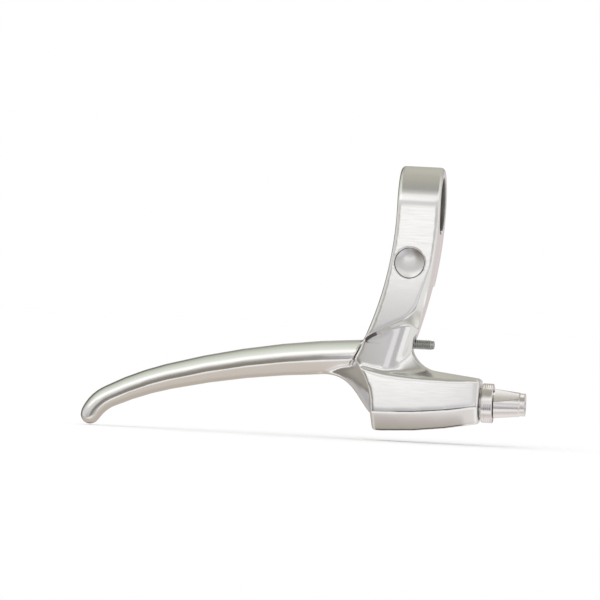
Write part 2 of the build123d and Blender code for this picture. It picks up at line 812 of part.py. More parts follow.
def lever_blade():
    """Finger blade and root plate in one, with bearing seats, spring pocket and nipple seat."""
    thinning = fan_thinning()
    plate = across(root_outline(), root_half) - thinning - mirror(thinning, about=Plane.XZ)
    body = blade_bar() + plate
    body = body - pin_y(pivot_x, pivot_drop, bush_radius, -outside, outside)
    body = body - pin_y(pivot_x, pivot_drop, boss_radius + free_clearance, mid_pocket, outside)
    body = body - spring_leg_groove()
    body = body - pin_y(anchor_x, cable_drop, nipple_diameter / 2, -outside, outside)
    way_x = anchor_x + anchor_end_radius
    way_y = outside / 2 - cable_slot / 2
    cable_way = Pos(way_x, way_y, -cable_drop) * Box(2 * anchor_end_radius, outside, cable_slot)
    return body - cable_way


def main():
    os.makedirs("parts", exist_ok=True)
    pieces = (
        bracket,
        lever_blade,
        clamp_nut,
        clamp_bolt,
        clamp_washer,
        pivot_bolt,
        pivot_washer,
        pivot_bush_front,
        pivot_bush_rear,
        return_spring,
        reach_screw,
        adjuster_barrel,
        adjuster_locknut,
    )
    for piece in pieces:
        export_step(piece(), f"parts/{piece.__name__}.step")


main()
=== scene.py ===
import bpy
import json
import math
from mathutils import Matrix, Vector

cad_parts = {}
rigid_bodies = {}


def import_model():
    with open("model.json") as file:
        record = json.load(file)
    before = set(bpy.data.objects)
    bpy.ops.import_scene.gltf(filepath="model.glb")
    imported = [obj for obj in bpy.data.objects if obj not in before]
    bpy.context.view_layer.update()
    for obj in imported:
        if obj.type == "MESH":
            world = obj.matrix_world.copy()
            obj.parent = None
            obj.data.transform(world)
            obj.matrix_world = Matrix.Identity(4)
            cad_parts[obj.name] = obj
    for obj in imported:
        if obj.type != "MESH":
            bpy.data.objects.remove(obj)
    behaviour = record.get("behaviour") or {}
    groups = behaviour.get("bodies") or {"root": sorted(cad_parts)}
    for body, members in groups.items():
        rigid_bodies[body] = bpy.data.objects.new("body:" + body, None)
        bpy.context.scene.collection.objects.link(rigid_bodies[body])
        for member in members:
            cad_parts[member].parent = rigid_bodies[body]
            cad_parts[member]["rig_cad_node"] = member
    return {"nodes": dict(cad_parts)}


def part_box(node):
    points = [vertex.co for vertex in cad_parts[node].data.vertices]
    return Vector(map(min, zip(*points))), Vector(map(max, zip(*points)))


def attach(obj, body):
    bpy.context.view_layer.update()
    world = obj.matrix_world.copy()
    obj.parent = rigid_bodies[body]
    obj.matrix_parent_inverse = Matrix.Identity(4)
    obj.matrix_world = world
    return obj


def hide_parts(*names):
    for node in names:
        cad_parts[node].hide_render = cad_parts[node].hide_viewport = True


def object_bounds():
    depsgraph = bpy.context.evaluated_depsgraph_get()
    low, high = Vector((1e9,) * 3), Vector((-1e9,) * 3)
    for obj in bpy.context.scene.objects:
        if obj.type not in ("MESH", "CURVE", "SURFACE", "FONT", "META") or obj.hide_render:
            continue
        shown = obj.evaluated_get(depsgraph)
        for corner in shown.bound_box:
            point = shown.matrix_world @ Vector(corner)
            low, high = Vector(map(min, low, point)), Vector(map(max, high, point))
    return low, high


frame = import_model()
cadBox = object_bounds()
mm = 0.001
mergeMm = 0.002  # points nearer than this are one

bpy.context.scene.view_settings.view_transform = "Standard"


def hexColour(text):
    # sRGB hex to linear, with alpha
    values = [int(text[i:i + 2], 16) / 255 for i in (1, 3, 5)]
    linear = [v / 12.92 if v <= 0.04045 else ((v + 0.055) / 1.055) ** 2.4 for v in values]
    return (*linear, 1.0)


def addNode(tree, kind, settings=None, links=None):
    # settings: attribute, input name or number to value, links: input to the socket that feeds it
    node = tree.nodes.new(kind)
    for name, value in (settings or {}).items():
        if isinstance(name, int) or name in node.inputs:
            node.inputs[name].default_value = value
        else:
            setattr(node, name, value)
    for name, socket in (links or {}).items():
        tree.links.new(socket, node.inputs[name])
    return node


def newMaterial(name):
    material = bpy.data.materials.new(name)
    material.use_nodes = True
    material.node_tree.nodes.clear()
    return material, material.node_tree


def setRamp(node, stops):
    # each stop: place from 0 to 1, and sRGB hex colour
    tones = node.color_ramp.elements
    while len(tones) > 1:
        tones.remove(tones[-1])
    tones[0].position = stops[0][0]
    tones[0].color = hexColour(stops[0][1])
    for place, colour in stops[1:]:
        tones.new(place).color = hexColour(colour)


def deselect():
    if bpy.context.object and bpy.context.object.mode != "OBJECT":
        bpy.ops.object.mode_set(mode="OBJECT")
    bpy.ops.object.select_all(action="DESELECT")


def pick(piece):
    deselect()
    piece.select_set(True)
    bpy.context.view_layer.objects.active = piece


def editAll():
    # edit mode, with all of the active piece chosen
    bpy.ops.object.mode_set(mode="EDIT")
    bpy.ops.mesh.select_all(action="SELECT")


def selectWhere(piece, test):
    # edit mode, with the vertices chosen that pass the test
    bpy.ops.object.mode_set(mode="EDIT")
    bpy.ops.mesh.select_mode(type="VERT")
    bpy.ops.mesh.select_all(action="DESELECT")
    bpy.ops.object.mode_set(mode="OBJECT")
    for vertex in piece.data.vertices:
        vertex.select = test(vertex.co)
    bpy.ops.object.mode_set(mode="EDIT")


def applyModifier(piece, kind, **settings):
    pick(piece)
    modifier = piece.modifiers.new(kind.title(), kind)
    for name, value in settings.items():
        setattr(modifier, name, value)
    bpy.ops.object.modifier_apply(modifier=modifier.name)


def smoothTo(piece, degrees):
    # smooth shading, with edges sharper than this kept
    pick(piece)
    bpy.ops.object.shade_smooth_by_angle(angle=math.radians(degrees))


def copyNode(node, name):
    # a merged copy of a CAD node, which stands for it
    pick(frame["nodes"][node])
    bpy.ops.object.duplicate()
    piece = bpy.context.active_object
    piece.name = name
    piece.data.name = name
    del piece["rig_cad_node"]
    editAll()
    bpy.ops.mesh.remove_doubles(threshold=mergeMm * mm)
    bpy.ops.object.mode_set(mode="OBJECT")
    bpy.ops.mesh.customdata_custom_splitnormals_clear()
    return piece


def middle(box):
    low, high = box
    return (low + high) / 2


def ramp(value, start, end):
    # 0 at start, 1 at end, straight between
    return min(1, max(0, (value - start) / (end - start)))


def between(value, start, full, fade, end):
    # 1 from full to fade, 0 outside start and end
    return ramp(value, start, full) * (1 - ramp(value, fade, end))


# Polishing: how far each smoothing pass goes, and the steps in its strength
polishing = {"factor": 0.5, "steps": 10}


def softGroup(piece, weight):
    # vertex group of how much each place is smoothed, from its place in mm
    group = piece.vertex_groups.new(name="soft")
    steps = polishing["steps"]
    levels = {}
    for vertex in piece.data.vertices:
        levels.setdefault(round(weight(vertex.co / mm) * steps), []).append(vertex.index)
    for level, indices in levels.items():
        group.add(indices, level / steps, "REPLACE")


def fineMesh(piece, form):
    applyModifier(piece, "REMESH", mode="VOXEL", voxel_size=form["voxelMm"] * mm, adaptivity=0)


def polishOver(piece, form, zones=()):
    # edges rounded over as polishing does: fine mesh, smoothing, then thinning where it is flat
    factor = polishing["factor"]
    fineMesh(piece, form)
    applyModifier(piece, "SMOOTH", factor=factor, iterations=form["rounds"])
    for zoneRounds, weight in zones:
        softGroup(piece, weight)
        applyModifier(piece, "SMOOTH", factor=factor, iterations=zoneRounds, vertex_group="soft")
        piece.vertex_groups.clear()
    applyModifier(piece, "DECIMATE", ratio=form["keep"])
    pick(piece)
    bpy.ops.object.shade_smooth()


def closeUp(sides):
    # ends edit mode: doubles merged, holes of up to so many sides filled (0 is any), faces turned outwards
    bpy.ops.mesh.select_all(action="SELECT")
    bpy.ops.mesh.remove_doubles(threshold=mergeMm * mm)
    bpy.ops.mesh.fill_holes(sides=sides)
    bpy.ops.mesh.select_all(action="SELECT")
    bpy.ops.mesh.normals_make_consistent(inside=False)
    bpy.ops.object.mode_set(mode="OBJECT")


def turnForm(name, rings, segments=96):
    # a turned form along Z, ring by ring: (radius, height) in mm, radius 0 ends in a pole
    deselect()
    bpy.ops.mesh.primitive_circle_add(vertices=segments, radius=rings[0][0] * mm)
    piece = bpy.context.active_object
    piece.name = name
    piece.data.name = name
    editAll()
    bpy.ops.transform.translate(value=(0, 0, rings[0][1] * mm))
    for (fromRadius, fromHeight), (radius, height) in zip(rings, rings[1:]):
        rise = (0, 0, (height - fromHeight) * mm)
        bpy.ops.mesh.extrude_edges_move(TRANSFORM_OT_translate={"value": rise})
        if radius:
            share = radius / fromRadius
            bpy.ops.transform.resize(value=(share, share, 1), center_override=(0, 0, height * mm))
        else:
            bpy.ops.mesh.merge(type="CENTER")
    closeUp(0)
    return piece


def threadRidge(name, form, turns, footShare=0.46):
    # one helical ridge along Z, from height 0 up; footShare is half its foot over the pitch
    depth = (form["crest"] - form["root"]) * mm
    pitch = form["pitch"] * mm
    deselect()
    bpy.ops.mesh.primitive_circle_add(vertices=4, radius=1)
    piece = bpy.context.active_object
    piece.name = name
    editAll()
    bpy.ops.transform.rotate(value=math.pi / 2, orient_axis="X", center_override=(0, 0, 0))
    bpy.ops.transform.resize(value=(depth, 1, footShare * pitch), center_override=(0, 0, 0))
    bpy.ops.transform.translate(value=(form["root"] * mm, 0, 0))
    bpy.ops.object.mode_set(mode="OBJECT")
    applyModifier(piece, "SCREW", axis="Z", angle=2 * math.pi, screw_offset=pitch, iterations=turns,
                  steps=form["steps"], render_steps=form["steps"])
    bpy.ops.object.mode_set(mode="EDIT")
    closeUp(4)
    return piece


# which way a turned form's Z goes
layTurns = {"front": (math.pi / 2, 0, 0), "right": (0, math.pi / 2, 0)}


def layAlong(piece, way, place):
    # the turn and the place go into the mesh
    pick(piece)
    piece.rotation_euler = layTurns[way]
    piece.location = place
    bpy.ops.object.transform_apply(location=True, rotation=True, scale=True)


# Slit that lets the cable into locknut and barrel: its depth goes past both rims
slitForm = {"widthMm": 2.2, "depthMm": 10.0}


def cutSlit(piece, box, axisZ):
    # sawn from the axis down, right along the piece
    low, high = box
    width, depth = slitForm["widthMm"] * mm, slitForm["depthMm"] * mm
    deselect()
    bpy.ops.mesh.primitive_cube_add(size=1, location=(middle(box).x, 0, axisZ - depth / 2),
                                    scale=(2 * (high.x - low.x), width, depth))
    block = bpy.context.active_object
    bpy.ops.object.transform_apply(location=True, rotation=True, scale=True)
    applyModifier(piece, "BOOLEAN", operation="DIFFERENCE", solver="EXACT", object=block)
    bpy.data.objects.remove(block)


def joinTo(piece, other):
    pick(piece)
    other.select_set(True)
    bpy.ops.object.join()


def dress(piece, body, material, nodes):
    piece.data.materials.clear()
    piece.data.materials.append(material)
    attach(piece, body)
    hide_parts(*nodes)


# Materials
noiseSpan = (0.3, 0.7)  # where most values of a noise lie
creviceShadeSpan = (0.2, 0.62)  # how open a gap is when it takes the full painted shade, and when it takes none

# forged aluminium, polished by hand: bright, almost a mirror, with a faint lengthwise grain, drawn some ten
# times as coarse as it is so that it shows; the bar's bore is left as machined and rougher, with painted
# shade darkening its colour, and painted shade darkens the gaps
polishedLook = {"colour": "#EFEEEC", "roughness": (0.13, 0.2), "grainMm": 0.35, "grainStretch": 0.05,
                "grainDepth": 0.008, "grainStrength": 0.09, "boreMm": (11.2, 11.5), "boreShadeColour": "#8F8D89",
                "boreRoughness": 0.45, "creviceShadeMm": 1.4, "creviceShadeColour": "#5A5652"}


def polishedAluminium():
    material, tree = newMaterial("polished_aluminium")
    look = polishedLook
    place = addNode(tree, "ShaderNodeTexCoord").outputs["Object"]
    stretched = addNode(tree, "ShaderNodeMapping", {"Scale": (look["grainStretch"], 1, 1)},
                        {"Vector": place}).outputs["Vector"]
    grain = addNode(tree, "ShaderNodeTexNoise",
                    {"Scale": 1 / (look["grainMm"] * mm), "Detail": 3, "Roughness": 0.6},
                    {"Vector": stretched}).outputs["Fac"]
    fromAxis = addNode(tree, "ShaderNodeVectorMath", {"operation": "MULTIPLY", 1: (0, 1, 1)}, {0: place})
    radius = addNode(tree, "ShaderNodeVectorMath", {"operation": "LENGTH"}, {0: fromAxis.outputs["Vector"]})
    inner, outer = look["boreMm"]
    bore = addNode(tree, "ShaderNodeMapRange",
                   {"From Min": inner * mm, "From Max": outer * mm, "To Min": 1, "To Max": 0},
                   {"Value": radius.outputs["Value"]}).outputs["Result"]
    low, high = look["roughness"]
    rough = addNode(tree, "ShaderNodeMapRange",
                    {"From Min": noiseSpan[0], "From Max": noiseSpan[1], "To Min": low, "To Max": high},
                    {"Value": grain}).outputs["Result"]
    allRough = addNode(tree, "ShaderNodeMix", {"B": look["boreRoughness"]}, {"Factor": bore, "A": rough})
    bump = addNode(tree, "ShaderNodeBump",
                   {"Strength": look["grainStrength"], "Distance": look["grainDepth"] * mm},
                   {"Height": grain}).outputs["Normal"]
    # painted shade: the base colour is darkened where the surface is closed in, in gaps and creases
    openness = addNode(tree, "ShaderNodeAmbientOcclusion", {"Distance": look["creviceShadeMm"] * mm, "samples": 8})
    unshaded = addNode(tree, "ShaderNodeMapRange", {"From Min": creviceShadeSpan[0], "From Max": creviceShadeSpan[1]},
                    {"Value": openness.outputs["AO"]})
    # inside the bore the colour is darkened as painted shade; the higher roughness there is the real machined
    # finish
    colours = addNode(tree, "ShaderNodeMix",
                      {"data_type": "RGBA", 6: hexColour(look["colour"]), 7: hexColour(look["boreShadeColour"])},
                      {"Factor": bore}).outputs[2]
    creviceShaded = addNode(tree, "ShaderNodeMix", {"data_type": "RGBA", 6: hexColour(look["creviceShadeColour"])},
                    {"Factor": unshaded.outputs["Result"], 7: colours})
    shader = addNode(tree, "ShaderNodeBsdfPrincipled", {"Metallic": 1.0},
                     {"Base Color": creviceShaded.outputs[2], "Roughness": allRough.outputs[0], "Normal": bump})
    addNode(tree, "ShaderNodeOutputMaterial", None, {"Surface": shader.outputs["BSDF"]})
    return material


# aluminium straight off the lathe: bright, with turning rings across its axis, drawn some three times as
# coarse as they are so that they show; painted shade darkens its gaps
turnedLook = {"colour": "#EBE7E5", "roughness": (0.14, 0.22), "ringMm": 0.3, "ringStretch": 0.02,
              "ringDepth": 0.004, "ringStrength": 0.12, "creviceShadeMm": 1.2, "creviceShadeColour": "#8A8481"}


def turnedAluminium():
    material, tree = newMaterial("turned_aluminium")
    look = turnedLook
    place = addNode(tree, "ShaderNodeTexCoord").outputs["Object"]
    stretched = addNode(tree, "ShaderNodeMapping", {"Scale": (1, look["ringStretch"], look["ringStretch"])},
                        {"Vector": place}).outputs["Vector"]
    rings = addNode(tree, "ShaderNodeTexNoise",
                    {"Scale": 1 / (look["ringMm"] * mm), "Detail": 2},
                    {"Vector": stretched}).outputs["Fac"]
    low, high = look["roughness"]
    rough = addNode(tree, "ShaderNodeMapRange",
                    {"From Min": noiseSpan[0], "From Max": noiseSpan[1], "To Min": low, "To Max": high},
                    {"Value": rings}).outputs["Result"]
    bump = addNode(tree, "ShaderNodeBump",
                   {"Strength": look["ringStrength"], "Distance": look["ringDepth"] * mm},
                   {"Height": rings}).outputs["Normal"]
    # painted shade: the base colour is darkened where the surface is closed in, in gaps and creases
    openness = addNode(tree, "ShaderNodeAmbientOcclusion", {"Distance": look["creviceShadeMm"] * mm, "samples": 8})
    unshaded = addNode(tree, "ShaderNodeMapRange", {"From Min": creviceShadeSpan[0], "From Max": creviceShadeSpan[1]},
                    {"Value": openness.outputs["AO"]})
    creviceShaded = addNode(tree, "ShaderNodeMix",
                    {"data_type": "RGBA", 6: hexColour(look["creviceShadeColour"]), 7: hexColour(look["colour"])},
                    {"Factor": unshaded.outputs["Result"]})
    shader = addNode(tree, "ShaderNodeBsdfPrincipled", {"Metallic": 1.0},
                     {"Base Color": creviceShaded.outputs[2], "Roughness": rough, "Normal": bump})
    addNode(tree, "ShaderNodeOutputMaterial", None, {"Surface": shader.outputs["BSDF"]})
    return material


# steel in two finishes, and brass: a little cloudy, as small plated or drawn parts are
smallMetalLooks = {
    "plated_steel": {"colour": "#DEDDDB", "roughness": (0.16, 0.24), "cloudMm": 1.6},
    "spring_steel": {"colour": "#B5B5B2", "roughness": (0.24, 0.36), "cloudMm": 0.6},
    "bearing_brass": {"colour": "#C9A95F", "roughness": (0.25, 0.4), "cloudMm": 1.0},
}


def smallMetal(name):
    material, tree = newMaterial(name)
    look = smallMetalLooks[name]
    place = addNode(tree, "ShaderNodeTexCoord").outputs["Object"]
    cloud = addNode(tree, "ShaderNodeTexNoise",
                    {"Scale": 1 / (look["cloudMm"] * mm), "Detail": 4},
                    {"Vector": place}).outputs["Fac"]
    low, high = look["roughness"]
    rough = addNode(tree, "ShaderNodeMapRange",
                    {"From Min": noiseSpan[0], "From Max": noiseSpan[1], "To Min": low, "To Max": high},
                    {"Value": cloud}).outputs["Result"]
    shader = addNode(tree, "ShaderNodeBsdfPrincipled",
                     {"Base Color": hexColour(look["colour"]), "Metallic": 1.0},
                     {"Roughness": rough})
    addNode(tree, "ShaderNodeOutputMaterial", None, {"Surface": shader.outputs["BSDF"]})
    return material


polished = polishedAluminium()
turned = turnedAluminium()
plated = smallMetal("plated_steel")
springSteel = smallMetal("spring_steel")
brass = smallMetal("bearing_brass")
print("materials made")

# Locknut: a ring with a smaller face against the hood and faint turned lines; radii and widths in mm
locknutForm = {"rim": 7.9, "bore": 5.05, "faceRadius": 5.9, "faceWidth": 0.75, "edge": 0.3, "lines": 4,
               "lineHalf": 0.16, "lineDepth": 0.03, "crease": 40}


def adjusterZ():
    # height of the adjuster's axis, from the top of its locknut
    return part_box("adjuster_locknut")[1][2] - locknutForm["rim"] * mm


def makeLocknut():
    form = locknutForm
    low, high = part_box("adjuster_locknut")
    width = (high.x - low.x) / mm
    rim, bore = form["rim"], form["bore"]
    face, edge = form["faceWidth"], form["edge"]
    rings = [(bore, 0), (form["faceRadius"], 0), (form["faceRadius"], face), (rim - edge, face),
             (rim, face + edge)]
    lineStep = (width - face - 2 * edge) / (form["lines"] + 1)
    for line in range(form["lines"]):
        at = face + edge + lineStep * (line + 1)
        rings += [(rim, at - form["lineHalf"]), (rim - form["lineDepth"], at), (rim, at + form["lineHalf"])]
    rings += [(rim, width - edge), (rim - edge, width), (bore, width), (bore, 0)]
    piece = turnForm("adjuster_locknut_ring", rings)
    layAlong(piece, "right", (low.x, 0, adjusterZ()))
    cutSlit(piece, (low, high), adjusterZ())
    smoothTo(piece, form["crease"])
    dress(piece, "locknut", turned, ["adjuster_locknut"])
    print("locknut", len(piece.data.polygons), "faces")


# Bracket: the forging with its edges rounded over by polishing, least round the nut's seat, little round the
# holes and most where the neck runs out into the hood; places in mm
bracketForm = {"voxelMm": 0.32, "rounds": 3, "keep": 0.38, "edgeRounds": 10, "rimRounds": 14,
               "hoodRounds": 22, "webRounds": 70, "seatMm": (7.5, 9.0), "rimTop": (-30, -38),
               "rimFront": (-6, -8), "hoodTop": (-57, -63), "webX": (-16, -10, 18, 26),
               "webZ": (-50, -56, -68, -71), "holeMm": (3.0, 4.5), "boreMm": (6.0, 7.5)}


def makeBracket():
    form = bracketForm
    piece = copyNode("bracket", "bracket_forging")
    nut = middle(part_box("clamp_nut")) / mm
    screw = middle(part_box("reach_screw")) / mm
    cableZ = adjusterZ() / mm

    def offSeat(co):
        return ramp(math.hypot(co.x - nut.x, co.z - nut.z), *form["seatMm"])

    def offHoles(co):
        offScrew = ramp(math.hypot(co.y, co.z - screw.z), *form["holeMm"])
        return offScrew * ramp(math.hypot(co.y, co.z - cableZ), *form["boreMm"])

    def rim(co):
        return ramp(co.z, *form["rimTop"]) * ramp(co.y, *form["rimFront"]) * offHoles(co)

    def hood(co):
        return ramp(co.z, *form["hoodTop"]) * offHoles(co)

    def web(co):
        return between(co.x, *form["webX"]) * between(co.z, *form["webZ"]) * offHoles(co)

    zones = [(form["edgeRounds"], offSeat), (form["rimRounds"], rim), (form["hoodRounds"], hood),
             (form["webRounds"], web)]
    polishOver(piece, form, zones)
    dress(piece, "bracket", polished, ["bracket"])
    print("bracket", len(piece.data.polygons), "faces")


# Blade: the same finish, softest where the belly fans out into the root plate and at the ball end; the root
# plate thins away from the hood, a little more at each step, below the belly's slanting foot; places in mm
bladeForm = {"voxelMm": 0.3, "rounds": 12, "keep": 0.55, "fanRounds": 70, "fanX": (-44, -36, -20, -16),
             "fanZ": (-62, -66), "ballRounds": 50, "ballX": (-114, -122), "thinFrom": -16.0, "thinStep": 1.4,
             "thinSteps": 8, "thinShare": 0.958, "plateMm": 4.1, "plateEnd": -39.0, "footX": -25.6,
             "footZ": -64.4, "footSlope": 0.43}


def makeBlade():
    form = bladeForm
    piece = copyNode("lever_blade", "blade_forging")

    def onPlate(co, edge):
        below = co.z / mm < form["footZ"] + form["footSlope"] * (co.x / mm - form["footX"])
        return below and form["plateEnd"] < co.x / mm < edge and abs(co.y / mm) < form["plateMm"]

    def fan(co):
        return between(co.x, *form["fanX"]) * ramp(co.z, *form["fanZ"])

    def ball(co):
        return ramp(co.x, *form["ballX"])

    fineMesh(piece, form)
    for step in range(form["thinSteps"]):
        edge = form["thinFrom"] - step * form["thinStep"]
        selectWhere(piece, lambda co: onPlate(co, edge))
        bpy.ops.transform.resize(value=(1, form["thinShare"], 1), center_override=(0, 0, 0))
        bpy.ops.object.mode_set(mode="OBJECT")
    polishOver(piece, form, [(form["fanRounds"], fan), (form["ballRounds"], ball)])
    dress(piece, "lever", polished, ["lever_blade"])
    print("blade", len(piece.data.polygons), "faces")


# Clamp nut: round, with a dished face and a blind hole behind for the bolt; heights from the front, in mm
nutForm = {"radius": 5.9, "bore": 2.55, "boreEnd": -2.0, "rearEdge": 0.2, "crease": 40,
           "face": [(5.9, -0.3), (5.84, -0.1), (5.65, 0), (5.4, -0.06), (4.9, -0.2), (4.2, -0.33),
                    (3.2, -0.45), (2.0, -0.53), (0.9, -0.57), (0, -0.58)]}


def makeNut():
    form = nutForm
    low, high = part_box("clamp_nut")
    rear = (low.y - high.y) / mm
    rings = [(form["bore"], form["boreEnd"]), (form["bore"], rear), (form["radius"] - form["rearEdge"], rear),
             (form["radius"], rear + form["rearEdge"])] + form["face"]
    piece = turnForm("clamp_nut_dished", rings)
    centre = middle((low, high))
    layAlong(piece, "front", (centre.x, low.y, centre.z))
    smoothTo(piece, form["crease"])
    dress(piece, "bracket", plated, ["clamp_nut"])
    print("clamp nut", len(piece.data.polygons), "faces")


# Reach screw: the plain screw drawn in to its root, with a rolled thread round it; sizes in mm
screwForm = {"rootShare": 0.85, "root": 1.68, "crest": 1.98, "pitch": 0.7, "steps": 28, "endGap": 0.35,
             "crease": 30}


def makeReachScrew():
    form = screwForm
    piece = copyNode("reach_screw", "reach_screw_threaded")
    low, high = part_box("reach_screw")
    centre = middle((low, high))
    share = form["rootShare"]
    editAll()
    bpy.ops.transform.resize(value=(1, share, share), center_override=centre)
    bpy.ops.object.mode_set(mode="OBJECT")
    run = (high.x - low.x) / mm - 2 * form["endGap"] - form["pitch"]
    ridge = threadRidge("reach_thread", form, int(run / form["pitch"]))
    start = low.x + (form["endGap"] + form["pitch"] / 2) * mm
    layAlong(ridge, "right", (start, 0, centre.z))
    joinTo(piece, ridge)
    smoothTo(piece, form["crease"])
    dress(piece, "reach_screw", springSteel, ["reach_screw"])
    print("reach screw", len(piece.data.polygons), "faces")


# Barrel: tapered body with rounded edges, and a cut thread on its shank, whose outside is drawn in to the
# thread's root while its bore, inside innerMm, stays; the thread starts so many pitches from the end
barrelForm = {"voxelMm": 0.16, "rounds": 4, "keep": 0.5, "rootShare": 0.89, "root": 4.45, "crest": 4.97,
              "pitch": 1.0, "steps": 40, "innerMm": 3.0, "shankPast": 0.2, "threadStart": 0.6, "crease": 30}


def makeBarrel():
    form = barrelForm
    piece = copyNode("adjuster_barrel", "adjuster_barrel_threaded")
    low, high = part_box("adjuster_barrel")
    axisZ = adjusterZ()
    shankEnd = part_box("adjuster_locknut")[1][0] + form["shankPast"] * mm
    inner = form["innerMm"] * mm
    selectWhere(piece, lambda co: co.x < shankEnd and math.hypot(co.y, co.z - axisZ) > inner)
    share = form["rootShare"]
    bpy.ops.transform.resize(value=(1, share, share), center_override=(0, 0, axisZ))
    bpy.ops.object.mode_set(mode="OBJECT")
    polishOver(piece, form)
    turns = int((shankEnd - low.x) / mm / form["pitch"]) - 1
    ridge = threadRidge("shank_thread", form, turns)
    layAlong(ridge, "right", (low.x + form["threadStart"] * form["pitch"] * mm, 0, axisZ))
    cutSlit(ridge, (low, high), axisZ)
    smoothTo(ridge, form["crease"])
    joinTo(piece, ridge)
    dress(piece, "barrel", turned, ["adjuster_barrel"])
    print("barrel", len(piece.data.polygons), "faces")


# Return spring: round wire
springForm = {"levels": 2}


def makeSpring():
    piece = copyNode("return_spring", "return_spring_wire")
    applyModifier(piece, "SUBSURF", levels=springForm["levels"], render_levels=springForm["levels"])
    bpy.ops.object.shade_smooth()
    dress(piece, "bracket", springSteel, ["return_spring"])
    print("spring", len(piece.data.polygons), "faces")


# Bolts, washers and sleeves: their edges are broken slightly, as turned parts are, by the last number in mm
smallParts = {
    "clamp_bolt": ("bracket", plated, "plated_steel", 0.25),
    "clamp_washer": ("bracket", plated, "plated_steel", 0.15),
    "pivot_bolt": ("bracket", plated, "plated_steel", 0.25),
    "pivot_washer": ("bracket", plated, "plated_steel", 0.12),
    "pivot_bush_front": ("lever", brass, "bearing_brass", 0.1),
    "pivot_bush_rear": ("lever", brass, "bearing_brass", 0.1),
}
smallEdges = {"segments": 2, "bevelFrom": 40, "crease": 32}


def makeSmallParts():
    for node, (body, material, slot, edgeMm) in smallParts.items():
        piece = copyNode(node, node + "_finished")
        applyModifier(piece, "BEVEL", width=edgeMm * mm, segments=smallEdges["segments"],
                      limit_method="ANGLE", angle_limit=math.radians(smallEdges["bevelFrom"]))
        smoothTo(piece, smallEdges["crease"])
        dress(piece, body, material, [node])
    print("small parts", len(smallParts))


makeBracket()
makeBlade()
makeNut()
makeReachScrew()
makeLocknut()
makeBarrel()
makeSpring()
makeSmallParts()

# Studio: a white floor under the part, a tent round it, cards that only the metal shows, and one soft lamp
studio = {"floorSize": 30.0, "floorGapMm": 0.2, "floorColour": "#FFFFFF", "lampSize": 0.5, "lampWatts": 0.6,
          "lampPlace": (-0.2, -0.9, 0.4), "lampAim": (-0.03, 0, -0.05)}


def makeFloor():
    deselect()
    height = cadBox[0][2] - studio["floorGapMm"] * mm
    bpy.ops.mesh.primitive_plane_add(size=studio["floorSize"], location=(0, 0, height))
    floor = bpy.context.active_object
    floor.name = "floor"
    material, tree = newMaterial("white_floor")
    shader = addNode(tree, "ShaderNodeBsdfDiffuse", {"Color": hexColour(studio["floorColour"])})
    addNode(tree, "ShaderNodeOutputMaterial", None, {"Surface": shader.outputs["BSDF"]})
    floor.data.materials.append(material)
    floor.visible_glossy = False


# cards: centre and size in m, turn in degrees, strength, and colours from front or foot to back or top
cards = {
    "white_card": {
        "place": (-0.042, -0.45, -0.0445), "size": (0.11, 0.089), "turn": (90, 0, 0), "strength": 1.2,
        "stops": [(0, "#FFFFFF"), (0.45, "#FFFFFF"), (1, "#CBCBCC")]},
    "dark_flag": {
        "place": (-0.1105, -0.25, -0.145), "size": (0.109, 0.27), "turn": (90, 0, 0), "strength": 1.0,
        "stops": [(0, "#8A847B"), (0.58, "#8A857D"), (0.8, "#A8A49C"), (1, "#E4E3E0")]},
    "pale_sky": {
        "place": (-0.335, -0.215, 0.1), "size": (0.6, 0.67), "turn": (0, 0, 0), "strength": 1.2,
        "stops": [(0, "#D9D9D7"), (0.2, "#FFFFFF"), (0.48, "#FFFFFF"), (0.6, "#DFE2DA"), (0.75, "#CCD0C6"),
                  (0.9, "#B2B5AB"), (1, "#97988F")]},
    "tan_card": {
        "place": (-0.17, 0.04, -0.15), "size": (0.27, 0.17), "turn": (0, 0, 0), "strength": 1.0,
        "stops": [(0, "#DED6CE"), (0.2, "#C6BDB3"), (1, "#BDB4A9")]},
    "hood_card": {
        "place": (0.0035, -0.0065, -0.11), "size": (0.041, 0.03), "turn": (0, 0, 0), "strength": 1.0,
        "stops": [(0, "#F4F2F1"), (0.05, "#E6E2E0"), (0.1, "#CFC8C5"), (0.16, "#C3BAB8"), (0.26, "#B8B1A8"),
                  (0.36, "#A8A299"), (0.44, "#5A5750"), (1, "#57544E")]},
    "edge_card": {
        "place": (0.009, -0.038, -0.1), "size": (0.03, 0.018), "turn": (0, 0, 0), "strength": 1.0,
        "stops": [(0, "#8A888A"), (0.3, "#4A484A"), (1, "#4A484A")]},
    # the next two cards: a small dark sheet set in the step under the shield rim's left end, so that the step
    # shows a dark dash of painted shade in its reflection, with a pale sheet just under it
    "slit_shade_card": {
        "place": (-0.016, -0.0109, -0.0562), "size": (0.006, 0.002), "turn": (6, 0, 0), "strength": 1.0,
        "stops": [(0, "#8A8784"), (0.5, "#55524F"), (1, "#4A4744")]},
    "slit_shade_card_under": {
        "place": (-0.016, -0.0109, -0.0563), "size": (0.0062, 0.0022), "turn": (6, 0, 0), "strength": 1.0,
        "stops": [(0, "#CFCED0")]},
    "barrel_card": {
        "place": (0.0367, 0.0054, -0.05), "size": (0.0165, 0.0212), "turn": (0, 0, 0), "strength": 1.1,
        "stops": [(0, "#FFFFFF")]},
    "right_strip": {
        "place": (0.38, -0.2, -0.175), "size": (0.2, 0.21), "turn": (90, 0, 62), "strength": 1.0,
        "stops": [(0, "#E8E8E8"), (0.3, "#FFFFFF"), (1, "#FFFFFF")]},
    "neck_strip": {
        "place": (0.104, -0.417, -0.17), "size": (0.17, 0.13), "turn": (90, 0, 14), "strength": 1.0,
        "stops": [(0, "#EFEDF0")]},
}


